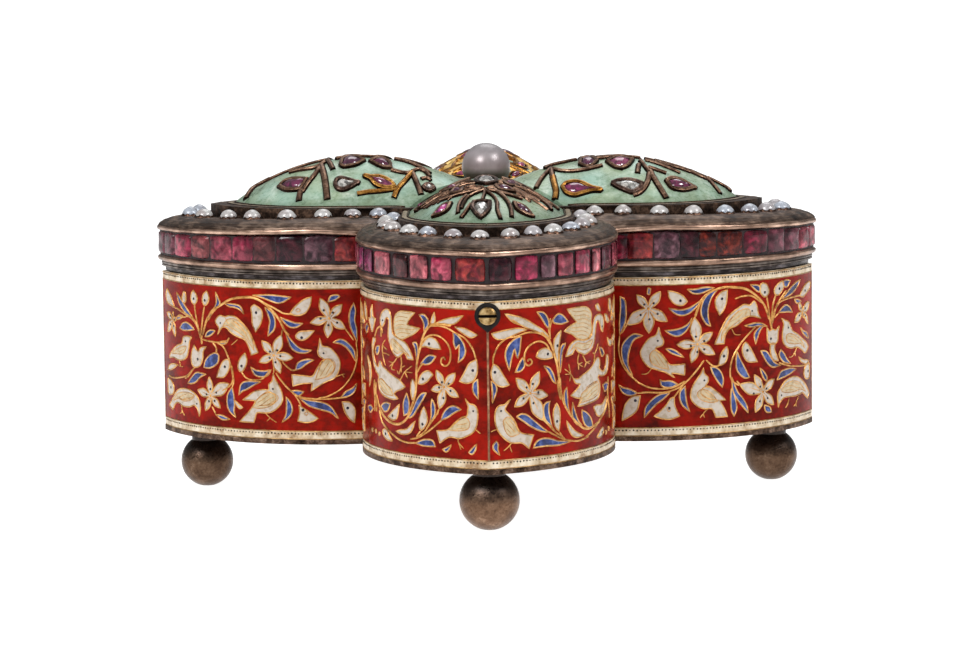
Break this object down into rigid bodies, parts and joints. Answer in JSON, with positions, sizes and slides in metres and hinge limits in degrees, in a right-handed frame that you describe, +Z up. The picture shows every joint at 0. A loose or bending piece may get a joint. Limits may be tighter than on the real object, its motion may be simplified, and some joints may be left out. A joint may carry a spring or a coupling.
{
  "type": "jewelled silver box",
  "caption": "Footed silver box on a pointed quatrefoil plan, red enamel walls, hinged lid with a stone channel, half pearls, green enamel domes and a pearl finial, push-button catch.",
  "frame": {"origin": "on the floor under the centre of the quatrefoil plan", "axes": "+Z up, front lobe with the catch towards -Y, hinge towards +Y"},
  "size_m": [0.1406, 0.1426, 0.0727],
  "materials": {
    "oxidised_silver": "oxidised, brushed",
    "worn_moulding": "worn, copper showing through",
    "foot_silver": "dark, rubbed",
    "red_enamel": "translucent enamel, gloss",
    "white_enamel": "opaque enamel, gloss",
    "green_enamel": "mottled opaque enamel",
    "gilt": "gilt",
    "brass": "polished, worn",
    "black_iron": "blackened",
    "spring_steel": "bright",
    "garnet": "polished, cushion cut",
    "ruby": "polished cabochon",
    "diamond": "rose cut",
    "pearl": "lustrous",
    "grey_pearl": "lustrous",
    "twig_bronze": "dark gilt, worn"
  },
  "bodies": {
    "case": {"base_plate": "oxidised_silver", "body_collar": "oxidised_silver", "corner_strips": "oxidised_silver", "crease_wires": "gilt", "upper_border": "white_enamel", "lower_border": "white_enamel", "foot_nuts": "oxidised_silver", "body_hinge": "oxidised_silver", "hinge_pin": "oxidised_silver", "catch_socket": "black_iron", "catch_guide": "oxidised_silver", "catch_spring": "spring_steel", "wall_front": "oxidised_silver", "enamel_front": "red_enamel", "foot_front": "foot_silver", "wall_right": "oxidised_silver", "enamel_right": "red_enamel", "foot_right": "foot_silver", "wall_back": "oxidised_silver", "enamel_back": "red_enamel", "foot_back": "foot_silver", "wall_left": "oxidised_silver", "enamel_left": "red_enamel", "foot_left": "foot_silver"},
    "lid": {"lid_hinge": "oxidised_silver", "lid_keeper": "oxidised_silver", "lid_frame": "oxidised_silver", "lower_moulding": "worn_moulding", "upper_moulding": "worn_moulding", "lid_cover": "oxidised_silver", "lid_step": "oxidised_silver", "pearl_collets": "oxidised_silver", "dome_rubies": "ruby", "dome_diamonds": "diamond", "finial_pearl": "grey_pearl", "finial_cup": "oxidised_silver", "finial_stud": "oxidised_silver", "finial_nut": "oxidised_silver", "channel_stones_front": "garnet", "pearls_front": "pearl", "enamel_dome_front": "green_enamel", "branchwork_front": "twig_bronze", "channel_stones_right": "garnet", "pearls_right": "pearl", "enamel_dome_right": "green_enamel", "branchwork_right": "twig_bronze", "channel_stones_back": "garnet", "pearls_back": "pearl", "enamel_dome_back": "green_enamel", "branchwork_back": "twig_bronze", "channel_stones_left": "garnet", "pearls_left": "pearl", "enamel_dome_left": "green_enamel", "branchwork_left": "twig_bronze"},
    "catch": {"catch_button": "brass", "latch_bar": "brass"}
  },
  "joints": [
    {"name": "lid_hinge_joint", "type": "hinge", "parent": "case", "child": "lid", "pos_m": [0, 0.0709, 0.047], "axis": [-1, 0, 0], "range_deg": [0, 100]},
    {"name": "catch_press", "type": "slide", "parent": "case", "child": "catch", "axis": [0, 1, 0], "range_m": [0, 0.0008], "stiffness_N_per_m": 500, "springref_m": -0.002, "deforming": ["catch_spring"]}
  ]
}
